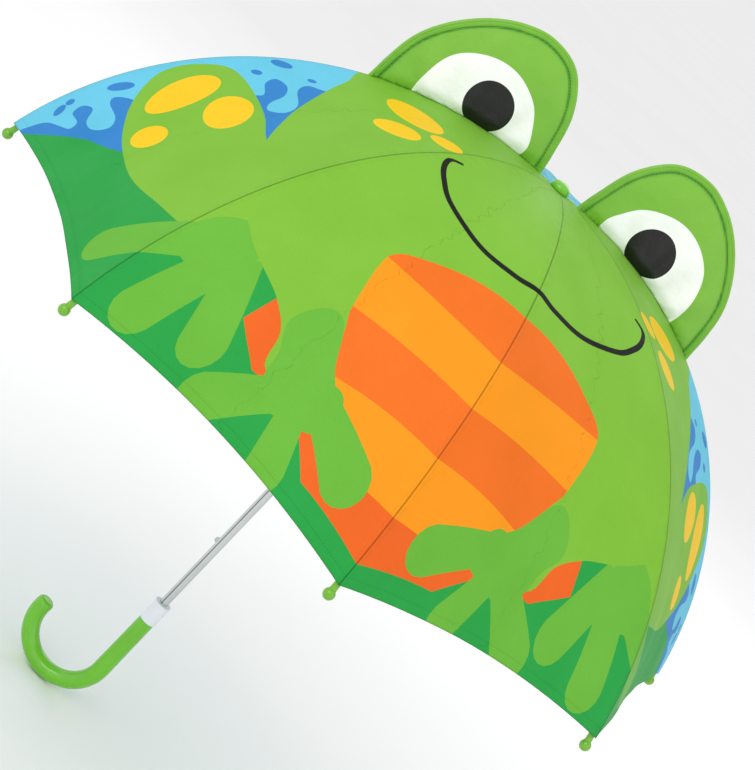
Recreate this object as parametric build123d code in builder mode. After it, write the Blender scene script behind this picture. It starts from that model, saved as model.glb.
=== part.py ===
from build123d import *
import os
from math import sin, cos, tan, asin, degrees, radians, sqrt

os.makedirs("parts", exist_ok=True)

# Children's umbrella, open, standing on the lowest point of its hook.
# Millimetres. +Z runs up the shaft to the top cap, the frog's face looks toward -Y,
# and the hook opens under -X. The origin is on the shaft axis, level with the hook's lowest point.

# ---- driving dimensions ----
DOME_R = 339.0            # radius of the arc that each rib seam follows
DOME_X = 28.0             # the arc's centre lies this far out from the shaft axis
DOME_TOP = 610.5          # height of the cloth on the shaft axis
DOME_C = DOME_TOP - sqrt(DOME_R**2 - DOME_X**2)
CLOTH_T = 0.8             # thickness of the plain cloth solids
CLOTH_IN = 5.0            # cloth starts this far from the shaft axis
SEAM_LEN = 468.0          # along a rib seam, from the axis to the hem corner
HEM_RISE = 11.0           # how far the hem rises between two ribs
HALF_GORE = 22.5          # degrees from a rib to the middle of a gore
GORE_GAP = 0.2            # each wing stops this far short of the middle of its gore

RIB_R = 334.8             # radius of the ribs' centre line
RIB_H = 2.6               # height of a rib's channel
RIB_W = 2.4               # width of a rib's channel
EAR_W = 3.4               # width across the ears at the joint
PIVOT_R = 10.0            # ribs and stretchers turn this far from the shaft axis
LINK = 187.8              # crown pivot to stretcher joint, and length of a stretcher
CLOSED_ANGLE = 85.5       # a stretcher's slope when the umbrella is shut, in degrees
WIRE_R = 0.7              # wires that carry the ribs and stretchers
RIVET_R = 0.9
RIVET_HOLE_R = 0.98

SHAFT_R = 4.0
SHAFT_WALL = 0.6
SHAFT_BOTTOM = 60.0
SHAFT_TOP = 615.5

RUNNER_BORE_R = 4.08
RUNNER_R = 7.6
RUNNER_LEN = 48.0         # from the stretcher wire down to the lower rim
FLANGE_R = 12.2
LATCH_DROP = 31.2         # latch window below the stretcher wire
LATCH_AZ = 157.5          # the two latch springs face this way
SPRING_PRESS = 2.6        # travel of a latch spring

HANDLE_TOP = 106.5
COLLAR_H = 21.0
COLLAR_R = 8.0
GRIP_R_TOP = 7.5
GRIP_R = 7.9
HOOK_R = 37.2
HOOK_SWEEP = 187.0
HOOK_END = 5.0            # straight end of the hook, with its edge rounded
HOOK_AZ = 162.5           # the hook bends toward this side
HOOK_Z = HOOK_R + GRIP_R  # level of the hook's centre

POSITIONS = {
    "right": 0, "back_right": 45, "back": 90, "back_left": 135,
    "left": 180, "front_left": 225, "front": 270, "front_right": 315,
}

# ---- places that follow from them, in the spoke plane (x outward, z up) ----
CROWN_Z = DOME_C + sqrt(RIB_R**2 - (PIVOT_R - DOME_X)**2)
T_PIVOT = degrees(asin((PIVOT_R - DOME_X) / RIB_R))
T_JOINT = T_PIVOT + 2 * degrees(asin(LINK / (2 * RIB_R)))
OPEN_ANGLE = (T_PIVOT + T_JOINT) / 2
JOINT_X = DOME_X + RIB_R * sin(radians(T_JOINT))
JOINT_Z = DOME_C + RIB_R * cos(radians(T_JOINT))
RUNNER_Z = CROWN_Z - 2 * LINK * sin(radians(OPEN_ANGLE))
RUNNER_SHUT = CROWN_Z - 2 * LINK * sin(radians(CLOSED_ANGLE))
MM = degrees(1 / RIB_R)   # degrees of rib arc in one millimetre
T_AXIS = degrees(asin(-DOME_X / DOME_R))
T_SEAM = T_AXIS + degrees(SEAM_LEN / DOME_R)

DOME_AXIS = Axis((DOME_X, 0, DOME_C), (0, 1, 0))


def label_out(shape, name):
    shape.label = name
    export_step(shape, f"parts/{name}.step")


def rib_plane(angle):
    # a cut across a rib: its x is across the rib, its y points out of the dome
    a = radians(angle)
    return Plane(
        origin=(DOME_X + RIB_R * sin(a), 0, DOME_C + RIB_R * cos(a)),
        x_dir=(0, 1, 0), z_dir=(cos(a), 0, -sin(a)),
    )


# ---- handle: a straight grip that bends into a hook ----
with BuildPart() as handle:
    with BuildSketch(Plane.XZ) as grip_profile:
        with BuildLine():
            Polyline((0, HOOK_Z), (GRIP_R, HOOK_Z), (GRIP_R_TOP, HANDLE_TOP), (0, HANDLE_TOP), close=True)
        make_face()
    revolve(axis=Axis.Z)
    with BuildSketch(Plane.XY.offset(HOOK_Z)):
        Circle(GRIP_R)
    turn, end = radians(HOOK_AZ), radians(HOOK_SWEEP)
    revolve(axis=Axis((HOOK_R * cos(turn), HOOK_R * sin(turn), HOOK_Z), (sin(turn), -cos(turn), 0)),
            revolution_arc=HOOK_SWEEP)
    reach = HOOK_R * (1 - cos(end))
    tangent = (sin(end) * cos(turn), sin(end) * sin(turn), -cos(end))
    with BuildSketch(Plane(origin=(reach * cos(turn), reach * sin(turn), HOOK_Z - HOOK_R * sin(end)),
                           z_dir=tangent)):
        Circle(GRIP_R)
    extrude(amount=HOOK_END)
    rim = handle.faces().filter_by(GeomType.PLANE).sort_by(Axis(origin=(0, 0, 0), direction=tangent))
    rim = [f for f in rim if abs(f.center().X - reach * cos(turn)) < 4][-1]
    fillet(rim.edges(), HOOK_END - 0.6)
    with Locations((0, 0, SHAFT_BOTTOM)):
        Cylinder(SHAFT_R, HANDLE_TOP - SHAFT_BOTTOM, mode=Mode.SUBTRACT,
                 align=(Align.CENTER, Align.CENTER, Align.MIN))
label_out(handle.part, "handle")

# ---- collar: white ferrule where the shaft enters the grip ----
with BuildPart() as collar:
    with Locations((0, 0, HANDLE_TOP)):
        Cylinder(COLLAR_R, COLLAR_H, align=(Align.CENTER, Align.CENTER, Align.MIN))
        Cylinder(SHAFT_R, COLLAR_H, mode=Mode.SUBTRACT, align=(Align.CENTER, Align.CENTER, Align.MIN))
    fillet(collar.edges().group_by(Axis.Z)[-1].sort_by(SortBy.RADIUS)[-1], 0.6)
    fillet(collar.edges().group_by(Axis.Z)[0].sort_by(SortBy.RADIUS)[-1], 0.3)
label_out(collar.part, "collar")

# ---- latch springs: a bent wire nub on a leg that lies inside the shaft ----
HAND_LATCH_Z = RUNNER_SHUT - LATCH_DROP
TOP_LATCH_Z = RUNNER_Z - LATCH_DROP
LATCH_PLANE = Plane(origin=(0, 0, 0), x_dir=(cos(radians(LATCH_AZ)), sin(radians(LATCH_AZ)), 0),
                    z_dir=(sin(radians(LATCH_AZ)), -cos(radians(LATCH_AZ)), 0))

for name, z in (("hand_spring", HAND_LATCH_Z), ("top_spring", TOP_LATCH_Z)):
    with BuildPart() as spring:
        with BuildSketch(LATCH_PLANE):
            with BuildLine():
                Polyline((0.7, z - 14), (0.7, z + 12), (1.7, z + 12), (1.7, z + 4.2), (5.6, z + 2.4),
                         (6.6, z + 1.4), (6.6, z - 0.6), (5.8, z - 1.8), (1.7, z - 3.4), (1.7, z - 14),
                         close=True)
            make_face()
        extrude(amount=0.6, both=True)
    label_out(spring.part, name)

# ---- shaft: thin steel tube with a slot for each latch spring ----
with BuildPart() as shaft:
    with Locations((0, 0, SHAFT_BOTTOM)):
        Cylinder(SHAFT_R, SHAFT_TOP - SHAFT_BOTTOM, align=(Align.CENTER, Align.CENTER, Align.MIN))
        Cylinder(SHAFT_R - SHAFT_WALL, SHAFT_TOP - SHAFT_BOTTOM, mode=Mode.SUBTRACT,
                 align=(Align.CENTER, Align.CENTER, Align.MIN))
    for z in (HAND_LATCH_Z, TOP_LATCH_Z):
        with BuildSketch(LATCH_PLANE):
            with Locations((SHAFT_R - 0.5, z + 0.4)):
                Rectangle(3.0, 10.0)
        extrude(amount=1.0, both=True, mode=Mode.SUBTRACT)
label_out(shaft.part, "shaft")

# ---- crown: slotted disc fixed to the shaft, and the wire ring that carries the ribs ----
CROWN_R = 13.0
CROWN_BOTTOM = CROWN_Z - 2.8
CROWN_TOP = DOME_TOP - 0.7
with BuildPart() as crown:
    with Locations((0, 0, CROWN_BOTTOM)):
        Cylinder(CROWN_R, CROWN_TOP - CROWN_BOTTOM, align=(Align.CENTER, Align.CENTER, Align.MIN))
    with Locations((0, 0, CROWN_BOTTOM - 9)):
        Cylinder(6.4, 9.0, align=(Align.CENTER, Align.CENTER, Align.MIN))
    with BuildSketch(Plane.XY.offset(CROWN_BOTTOM)):
        with PolarLocations(10.7, 8):
            Rectangle(7.4, 2.2)
    extrude(amount=CROWN_Z + 1.7 - CROWN_BOTTOM, mode=Mode.SUBTRACT)
    with BuildSketch(Plane.XY.offset(CROWN_BOTTOM)):
        Circle(PIVOT_R + WIRE_R)
        Circle(PIVOT_R - WIRE_R, mode=Mode.SUBTRACT)
    extrude(amount=CROWN_Z + WIRE_R - CROWN_BOTTOM, mode=Mode.SUBTRACT)
    with BuildSketch(Plane.XY.offset(CROWN_BOTTOM - 10)):
        Circle(SHAFT_R)
    extrude(amount=30, mode=Mode.SUBTRACT)
label_out(crown.part, "crown")

with BuildPart() as crown_wire:
    with Locations((0, 0, CROWN_Z)):
        Torus(PIVOT_R, WIRE_R)
label_out(crown_wire.part, "crown_wire")

# ---- top cap: small dome that clamps the cloth and closes the shaft ----
CAP_BOTTOM = DOME_TOP + CLOTH_T / 2 + 0.9
with BuildPart() as top_cap:
    with BuildSketch(Plane.XZ):
        with BuildLine():
            low = Line((0, CAP_BOTTOM), (8.5, CAP_BOTTOM))
            side = Line((8.5, CAP_BOTTOM), (8.5, CAP_BOTTOM + 1.6))
            Spline((8.5, CAP_BOTTOM + 1.6), (6.4, CAP_BOTTOM + 5.6), (0, CAP_BOTTOM + 7.6),
                   tangents=((0, 1), (-1, 0)))
            Line((0, CAP_BOTTOM + 7.6), (0, CAP_BOTTOM))
        make_face()
    revolve(axis=Axis.Z)
    with BuildSketch(Plane.XY.offset(CAP_BOTTOM)):
        Circle(SHAFT_R)
    extrude(amount=SHAFT_TOP - CAP_BOTTOM, mode=Mode.SUBTRACT)
label_out(top_cap.part, "top_cap")

# ---- runner: sleeve with a slotted flange, a latch window and a keyway for the springs ----
with BuildPart() as runner:
    with Locations((0, 0, RUNNER_Z - RUNNER_LEN)):
        Cylinder(RUNNER_R, RUNNER_LEN + 3, align=(Align.CENTER, Align.CENTER, Align.MIN))
        Cylinder(8.3, 3.0, align=(Align.CENTER, Align.CENTER, Align.MIN))
    with Locations((0, 0, RUNNER_Z - 3.6)):
        Cylinder(FLANGE_R, 6.6, align=(Align.CENTER, Align.CENTER, Align.MIN))
    fillet(runner.edges().group_by(Axis.Z)[-1].sort_by(SortBy.RADIUS)[-1], 0.8)
    with BuildSketch(Plane.XY.offset(RUNNER_Z - 5)):
        with PolarLocations(10.9, 8):
            Rectangle(5.0, 2.3)
    extrude(amount=10, mode=Mode.SUBTRACT)
    with BuildSketch(Plane.XY.offset(RUNNER_Z + 3)):
        Circle(PIVOT_R - 2.4 + WIRE_R)
        Circle(PIVOT_R - 2.4 - WIRE_R, mode=Mode.SUBTRACT)
    extrude(amount=-1.6, mode=Mode.SUBTRACT)
    with BuildSketch(Plane.XY.offset(RUNNER_Z - RUNNER_LEN - 1)):
        Circle(RUNNER_BORE_R)
    extrude(amount=RUNNER_LEN + 10, mode=Mode.SUBTRACT)
    with BuildSketch(LATCH_PLANE):
        with Locations((SHAFT_R - 0.5, RUNNER_Z - 20)):
            Rectangle(6.6, 90)
    extrude(amount=1.2, both=True, mode=Mode.SUBTRACT)
    with BuildSketch(LATCH_PLANE):
        with Locations((8, TOP_LATCH_Z)):
            Rectangle(8, 12)
    extrude(amount=1.7, both=True, mode=Mode.SUBTRACT)
label_out(runner.part, "runner")

with BuildPart() as runner_wire:
    with Locations((0, 0, RUNNER_Z + 3 - 1.6 + WIRE_R)):
        Torus(PIVOT_R - 2.4, WIRE_R - 0.02)
label_out(runner_wire.part, "runner_wire")

# ---- one spoke in the plane y = 0: rib, rib end, tip, stretcher and cloth wing ----
BLADE = 1.6               # thickness of the flattened ends that turn in slots
T_BAR_A = T_PIVOT + 14 * MM
T_BAR_B = T_JOINT - 6 * MM
with BuildPart() as rib:
    with BuildSketch(rib_plane(T_PIVOT)):
        Rectangle(BLADE, RIB_H - 0.2)
    revolve(axis=DOME_AXIS, revolution_arc=T_JOINT - T_PIVOT)
    with BuildSketch(rib_plane(T_BAR_A)):
        Rectangle(RIB_W, RIB_H)
    revolve(axis=DOME_AXIS, revolution_arc=T_BAR_B - T_BAR_A)
    with BuildSketch(rib_plane(T_BAR_A + 5 * MM)):
        with Locations((0, -0.5)):
            Rectangle(RIB_W - 1.0, RIB_H)
    revolve(axis=DOME_AXIS, revolution_arc=T_BAR_B - T_BAR_A - 10 * MM, mode=Mode.SUBTRACT)
    with BuildSketch(Plane.XZ):
        with Locations((PIVOT_R, CROWN_Z)):
            Circle(1.5)
        with Locations((JOINT_X, JOINT_Z)):
            Circle(1.5)
    extrude(amount=BLADE / 2, both=True)
    with BuildSketch(Plane.XZ):
        with Locations((PIVOT_R, CROWN_Z)):
            Circle(WIRE_R + 0.09)
    extrude(amount=2, both=True, mode=Mode.SUBTRACT)
    with BuildSketch(Plane.XZ):
        with Locations((JOINT_X, JOINT_Z)):
            Circle(RIVET_R)
    extrude(amount=3.0, both=True)
    for side in (-1, 1):
        with BuildSketch(Plane.XZ.offset(side * 2.85)):
            with Locations((JOINT_X, JOINT_Z)):
                Circle(1.6)
        extrude(amount=side * 0.6)

with BuildPart() as rib_end:
    with BuildSketch(rib_plane(T_JOINT)):
        with Locations((0.35 - EAR_W / 2, 0), (EAR_W / 2 - 0.35, 0)):
            Rectangle(0.7, RIB_H)
    revolve(axis=DOME_AXIS, revolution_arc=9 * MM)
    with BuildSketch(rib_plane(T_JOINT + 5 * MM)):
        Rectangle(EAR_W, RIB_H)
    revolve(axis=DOME_AXIS, revolution_arc=5 * MM)
    with BuildSketch(rib_plane(T_JOINT + 9 * MM)):
        Rectangle(RIB_W, RIB_H)
    revolve(axis=DOME_AXIS, revolution_arc=T_SEAM + 0.6 * MM - T_JOINT - 9 * MM)
    with BuildSketch(rib_plane(T_JOINT + 14 * MM)):
        with Locations((0, -0.6)):
            Rectangle(RIB_W - 1.0, RIB_H)
    revolve(axis=DOME_AXIS, revolution_arc=T_SEAM - T_JOINT - 20 * MM, mode=Mode.SUBTRACT)
    with BuildSketch(rib_plane(T_SEAM + 0.6 * MM)):
        Rectangle(RIB_W, RIB_H)
    extrude(amount=3.5)
    for side in (-1, 1):
        with BuildSketch(Plane.XZ.offset(side * 1.0)):
            with Locations((JOINT_X, JOINT_Z)):
                Circle(1.7)
        extrude(amount=side * 0.7)
    with BuildSketch(Plane.XZ):
        with Locations((JOINT_X, JOINT_Z)):
            Circle(RIVET_HOLE_R)
    extrude(amount=2.5, both=True, mode=Mode.SUBTRACT)

TIP_PLANE = rib_plane(T_SEAM + 0.6 * MM)
TIP_R = 4.6
TIP_REACH = 9.7           # from the hem corner to the middle of the bead
with BuildPart() as tip:
    with BuildSketch(TIP_PLANE):
        Circle(2.55)
    extrude(amount=TIP_REACH - 2, taper=-2.5)
    with Locations(TIP_PLANE.offset(TIP_REACH)):
        Sphere(TIP_R)
    with BuildSketch(TIP_PLANE):
        Rectangle(RIB_W, RIB_H)
    extrude(amount=3.5, mode=Mode.SUBTRACT)

# a stretcher lies on its own plane: x along it from the joint to the runner
slope = radians(OPEN_ANGLE)
along = (-cos(slope), 0, -sin(slope))
S_PLANE = Plane(origin=(JOINT_X, 0, JOINT_Z), x_dir=along, z_dir=(0, -1, 0))


def stretcher_cut(distance):
    return Plane(
        origin=(JOINT_X + along[0] * distance, 0, JOINT_Z + along[2] * distance),
        x_dir=(0, 1, 0), z_dir=along,
    )


with BuildPart() as stretcher:
    for side in (-1, 1):
        with BuildSketch(S_PLANE.offset(side * 1.95)):
            Circle(1.7)
            with Locations((6, 0)):
                Rectangle(12, 2.4)
        extrude(amount=side * 0.7)
    with BuildSketch(stretcher_cut(9)):
        Rectangle(5.3, 2.4)
    extrude(amount=4.5)
    with BuildSketch(stretcher_cut(12)):
        Rectangle(2.8, 2.4)
    extrude(amount=LINK - 12 - 12)
    with BuildSketch(stretcher_cut(20)):
        with Locations((0, -0.5)):
            Rectangle(1.7, 2.4)
    extrude(amount=LINK - 40, mode=Mode.SUBTRACT)
    with BuildSketch(S_PLANE):
        with Locations((LINK - 8, 0)):
            Rectangle(16, 2.3)
        with Locations((LINK, 0)):
            Circle(1.15)
    extrude(amount=BLADE / 2, both=True)
    with BuildSketch(S_PLANE):
        Circle(RIVET_HOLE_R)
    extrude(amount=4, both=True, mode=Mode.SUBTRACT)

# cloth wing: half a gore on each side of its rib
gore = radians(HALF_GORE)
GORE_PLANE = Plane(origin=(0, 0, 0), x_dir=(cos(gore), sin(gore), 0), z_dir=(sin(gore), -cos(gore), 0))
HEM_PLANE = Plane(origin=(0, 0, 0), x_dir=(-sin(gore), cos(gore), 0), z_dir=(cos(gore), sin(gore), 0))


def gore_line(radius, first, last, steps=14):
    points = []
    for k in range(steps + 1):
        a = radians(first + (last - first) * k / steps)
        points.append(((DOME_X + radius * sin(a)) * cos(gore), DOME_C + radius * cos(a)))
    return points


with BuildPart() as half_wing:
    t_in = T_AXIS + degrees(CLOTH_IN / DOME_R)
    outer = gore_line(DOME_R + CLOTH_T / 2, t_in, T_SEAM + 1.5)
    inner = gore_line(DOME_R - CLOTH_T / 2, t_in, T_SEAM + 1.5)
    with BuildSketch(GORE_PLANE):
        with BuildLine():
            Spline(*outer)
            Line(outer[-1], inner[-1])
            Spline(*reversed(inner))
            Line(inner[0], outer[0])
        make_face()
    extrude(amount=150)
    # keep the wedge between the rib and the middle of the gore
    with BuildSketch(Plane.XY):
        with BuildLine():
            near = GORE_GAP / sin(gore)
            Polyline((near, 0), (500, 0), (near + 500 * cos(gore), 500 * sin(gore)), close=True)
        make_face()
    extrude(amount=700, mode=Mode.INTERSECT)
    # the hem: an arc that rises in the middle of the gore
    half = (DOME_X + DOME_R * sin(radians(T_SEAM))) * sin(gore)
    z_hem = DOME_C + DOME_R * cos(radians(T_SEAM))
    with BuildSketch(HEM_PLANE):
        with BuildLine():
            ThreePointArc((-half, z_hem), (0, z_hem + HEM_RISE), (half, z_hem))
            Line((half, z_hem), (half + 20, z_hem - 1))
            Line((half + 20, z_hem - 1), (half + 20, 0))
            Line((half + 20, 0), (-half - 20, 0))
            Line((-half - 20, 0), (-half - 20, z_hem - 1))
            Line((-half - 20, z_hem - 1), (-half, z_hem))
        make_face()
    extrude(amount=500, mode=Mode.SUBTRACT)

wing = half_wing.part + mirror(half_wing.part, about=Plane.XZ)

# ---- the eight spokes ----
for name, azimuth in POSITIONS.items():
    turn = Rot(Z=azimuth)
    label_out(turn * rib.part, f"rib_{name}")
    label_out(turn * rib_end.part, f"rib_end_{name}")
    label_out(turn * tip.part, f"tip_{name}")
    label_out(turn * stretcher.part, f"stretcher_{name}")
    label_out(turn * wing, f"canopy_{name}")

# ---- eyes: flat cloth pouches that stand on the two side seams, stiffened by a wire rim ----
EYE_T = 3.0
EYE_OUTLINE = [(25, 18), (35, 52), (56, 78), (84, 85), (110, 78), (134, 62), (155, 38), (168, 10)]
EYE_FOOT = DOME_R + CLOTH_T / 2 + 0.4


def eye_foot(x, lift=0.0):
    return (x, DOME_C + sqrt((EYE_FOOT + lift) ** 2 - (abs(x) - DOME_X) ** 2))


for name, sign in (("left", -1), ("right", 1)):
    rim = [(sign * x, DOME_TOP + z) for x, z in EYE_OUTLINE]
    first = eye_foot(sign * 22.0, 0.9)
    last = eye_foot(sign * 172.5, 0.9)
    with BuildPart() as eye_wire:
        with BuildLine(Plane.XZ) as rim_path:
            Spline(first, *rim, last)
        with BuildSketch(Plane(origin=rim_path.line @ 0, z_dir=rim_path.line % 0)):
            Circle(0.8)
        sweep()
    label_out(eye_wire.part, f"eye_wire_{name}")

    with BuildPart() as eye:
        with BuildSketch(Plane.XZ):
            with BuildLine():
                edge = Spline(first, *rim, last)
                Line(last, eye_foot(sign * 172.5, -6))
                Line(eye_foot(sign * 172.5, -6), eye_foot(sign * 22.0, -6))
                Line(eye_foot(sign * 22.0, -6), first)
            make_face()
        extrude(amount=EYE_T / 2, both=True)
        with BuildSketch(Plane.XZ):
            with Locations((sign * DOME_X, DOME_C)):
                Circle(EYE_FOOT)
        extrude(amount=5, both=True, mode=Mode.SUBTRACT)
    # the cloth stops just inside the wire
    with BuildPart() as groove:
        with BuildLine(Plane.XZ) as groove_path:
            Spline(first, *rim, last)
        with BuildSketch(Plane(origin=groove_path.line @ 0, z_dir=groove_path.line % 0)):
            Circle(2.3)
        sweep()
    cloth = eye.part - groove.part
    cloth = Part(cloth.solids().sort_by(SortBy.VOLUME)[-1].wrapped)
    label_out(cloth, f"eye_{name}")
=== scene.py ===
import math

import bmesh
import bpy
import numpy as np
from mathutils import Matrix, Vector
from mathutils.geometry import delaunay_2d_cdt


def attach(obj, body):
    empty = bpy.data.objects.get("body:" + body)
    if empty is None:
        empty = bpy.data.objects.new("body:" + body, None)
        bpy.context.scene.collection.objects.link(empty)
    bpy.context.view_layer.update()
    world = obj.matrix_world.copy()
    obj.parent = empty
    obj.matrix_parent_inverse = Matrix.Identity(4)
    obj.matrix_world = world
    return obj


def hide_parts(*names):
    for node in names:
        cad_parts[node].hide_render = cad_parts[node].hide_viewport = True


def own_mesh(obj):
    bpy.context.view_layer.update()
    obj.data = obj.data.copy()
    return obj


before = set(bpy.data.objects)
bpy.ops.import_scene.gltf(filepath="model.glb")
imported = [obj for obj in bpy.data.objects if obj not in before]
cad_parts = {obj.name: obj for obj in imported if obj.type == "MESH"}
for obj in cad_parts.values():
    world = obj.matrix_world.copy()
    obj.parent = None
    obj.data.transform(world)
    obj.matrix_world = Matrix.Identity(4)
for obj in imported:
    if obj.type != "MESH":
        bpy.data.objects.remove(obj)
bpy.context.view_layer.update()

# ------------------------------------------------------------------ sizes, in millimetres
DOME_R, DOME_X, DOME_TOP = 339.0, 28.0, 610.5
DOME_C = DOME_TOP - math.sqrt(DOME_R ** 2 - DOME_X ** 2)
RIB_R, PIVOT_R, LINK = 334.8, 10.0, 187.8
SEAM_LEN = 469.5
HEM_RISE = 11.5
CLOTH_IN = 4.6
CLOTH_T = 0.45
GORE = math.radians(22.5)
T_AXIS = math.asin(-DOME_X / DOME_R)
T_PIVOT = math.asin((PIVOT_R - DOME_X) / RIB_R)
T_JOINT = T_PIVOT + 2 * math.asin(LINK / (2 * RIB_R))
RING = DOME_R * (T_JOINT - T_AXIS)     # where the inner and outer halves of the cloth meet
GRID = 7.0
SHUT_TOP, SHUT_SKIRT = 0.25, 0.165     # share of its width that the cloth keeps when shut
STRAY = 1.4                            # loose cloth points keep this far from an outline
CIRCLE_STEPS = 256

POSITIONS = {
    "right": 0, "back_right": 45, "back": 90, "back_left": 135,
    "left": 180, "front_left": 225, "front": 270, "front_right": 315,
}


def srgb(r, g, b):
    out = []
    for c in (r, g, b):
        c /= 255
        out.append(c / 12.92 if c <= 0.04045 else ((c + 0.055) / 1.055) ** 2.4)
    return out


PRINT = {
    "sky": srgb(100, 196, 226), "splash": srgb(44, 128, 200), "ring": srgb(34, 156, 66),
    "skin": srgb(124, 184, 54), "limb": srgb(103, 177, 56), "spot": srgb(243, 198, 22),
    "orange": srgb(234, 110, 26), "amber": srgb(243, 148, 18), "rust": srgb(230, 98, 26),
    "eye": srgb(122, 184, 54), "mouth": srgb(14, 18, 12), "white": srgb(250, 251, 252), "black": srgb(12, 12, 13),
}

# ------------------------------------------------------------------ printed artwork
# Drawn flat: u across the frog, v down from the apex (front is -v), in millimetres on the cloth.


def smooth(points, closed=True, steps=6):
    """A Catmull-Rom curve through a few given points."""
    p = np.array(points, float)
    n = len(p)
    out = []
    spans = n if closed else n - 1
    for i in range(spans):
        if closed:
            a, b, c, d = p[(i - 1) % n], p[i], p[(i + 1) % n], p[(i + 2) % n]
        else:
            a, b, c, d = p[max(i - 1, 0)], p[i], p[i + 1], p[min(i + 2, n - 1)]
        for k in range(steps):
            t = k / steps
            out.append(0.5 * (2 * b + (c - a) * t + (2 * a - 5 * b + 4 * c - d) * t * t
                              + (3 * b - a - 3 * c + d) * t ** 3))
    if not closed:
        out.append(p[-1])
    return np.array(out)


def ellipse(x, y, rx, ry, turn=0.0, n=28):
    a = np.linspace(0, 2 * np.pi, n, endpoint=False)
    c, s = math.cos(math.radians(turn)), math.sin(math.radians(turn))
    ex, ey = rx * np.cos(a), ry * np.sin(a)
    return np.stack([x + ex * c - ey * s, y + ex * s + ey * c], 1)


def finger(base, tip, r0, r1, n=9):
    """A rounded finger that widens from its base to its tip."""
    b, t = np.array(base, float), np.array(tip, float)
    d = (t - b) / np.linalg.norm(t - b)
    q = np.array([-d[1], d[0]])
    ang = math.atan2(d[1], d[0])
    end = [t + r1 * np.array([math.cos(ang + k), math.sin(ang + k)])
           for k in np.linspace(-math.pi / 2, math.pi / 2, n)]
    return np.array([b - q * r0] + end + [b + q * r0])


def thick(points, width):
    """A brush stroke: a band around a smooth line, thinner towards its ends."""
    p = smooth(points, closed=False, steps=5)
    d = np.gradient(p, axis=0)
    d /= np.linalg.norm(d, axis=1)[:, None]
    q = np.stack([-d[:, 1], d[:, 0]], 1)
    t = np.linspace(0, 1, len(p))
    w = width / 2 * (0.55 + 0.45 * np.sin(np.pi * t) ** 0.5)
    return np.concatenate([p + q * w[:, None], (p - q * w[:, None])[::-1]])


def both(shapes):
    """Each shape and its mirror image."""
    out = []
    for colour, s in shapes:
        out.append((colour, s))
        out.append((colour, s * np.array([-1, 1])))
    return out


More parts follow.
